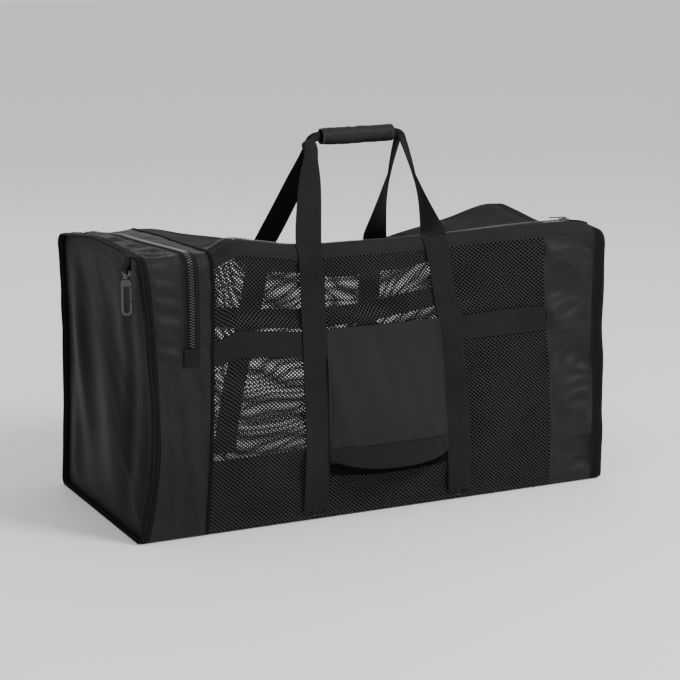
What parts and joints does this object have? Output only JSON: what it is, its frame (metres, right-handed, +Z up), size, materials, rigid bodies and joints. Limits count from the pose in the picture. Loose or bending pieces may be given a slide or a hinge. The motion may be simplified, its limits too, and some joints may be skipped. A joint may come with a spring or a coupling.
{
  "type": "mesh dive gear bag",
  "caption": "Large rectangular duffel with see-through mesh walls, a zipped top, a zipped end pocket, carry straps joined in a padded grip, a front slip pocket and a swivel hook.",
  "frame": {"origin": "middle of the floor's underside", "axes": "+X along the bag's length away from the end pocket, -Y towards the side with the slip pocket, +Z up"},
  "size_m": [0.7544, 0.3695, 0.5391],
  "materials": {
    "nylon": "smooth dull black nylon with soft folds",
    "mesh": "open diamond mesh of black coated cord",
    "webbing": "finely ribbed black webbing",
    "ribbed_band": "finely ribbed black binding",
    "binding": "dark folded seam binding with a stitch line",
    "zip_tape": "woven black zip tape",
    "zip_teeth": "black moulded coil",
    "metal": "plain steel, slightly worn",
    "hook": "black moulded hook",
    "grip": "padded smooth black grip"
  },
  "bodies": {
    "bag": {"back_mesh": "mesh", "front_mesh": "mesh", "end_panel_left": "nylon", "end_panel_right": "nylon", "top_panel": "nylon", "handle_front": "webbing", "handle_back": "webbing", "bottom_panel": "nylon", "top_front_band": "ribbed_band", "top_zip_tape": "zip_tape", "gusset_lower": "nylon", "end_zip_tape": "zip_tape", "right_band_front": "nylon", "body_piping": "binding", "end_flange_left": "binding", "end_flange_right": "binding", "right_band_back": "nylon", "grip_wrap": "grip", "back_top_band": "ribbed_band", "gusset_outer": "nylon", "hook_eye": "hook", "front_pocket": "nylon", "gusset_inner": "nylon", "pocket_divider": "nylon", "top_zip_chain": "zip_teeth", "end_zip_chain": "zip_teeth", "belt_front": "webbing", "belt_back": "webbing", "hook_loop": "webbing", "end_zip_slider": "metal", "top_zip_slider": "metal", "front_pocket_hem": "ribbed_band", "end_zip_tab_front": "webbing", "end_zip_tab_back": "webbing", "top_zip_tab": "webbing"},
    "hook": {"hook_pin": "metal", "hook_body": "hook"},
    "gate": {"hook_gate": "metal"},
    "end_pull": {"end_zip_pull": "metal"},
    "top_pull": {"top_zip_pull": "metal"}
  },
  "joints": [
    {"name": "hook_swivel", "type": "hinge", "parent": "bag", "child": "hook", "pos_m": [-0.37583, -0.12899, 0.3657], "axis": [0, 0, 1], "range_deg": [-40, 40]},
    {"name": "hook_gate", "type": "hinge", "parent": "hook", "child": "gate", "pos_m": [-0.37089, -0.1314, 0.3538], "axis": [0.4384, 0.8988, 0], "range_deg": [0, 20], "stiffness_Nm_per_rad": 0.02, "springref_deg": -11.46},
    {"name": "end_pull_hinge", "type": "hinge", "parent": "bag", "child": "end_pull", "pos_m": [-0.30103, 0.16758, 0.26692], "axis": [1, -0.0003, 0.0032], "range_deg": [0, 110]},
    {"name": "top_pull_hinge", "type": "hinge", "parent": "bag", "child": "top_pull", "pos_m": [0.31635, -0.1266, 0.40178], "axis": [-0.0118, 0.9842, -0.1767], "range_deg": [0, 110]}
  ]
}
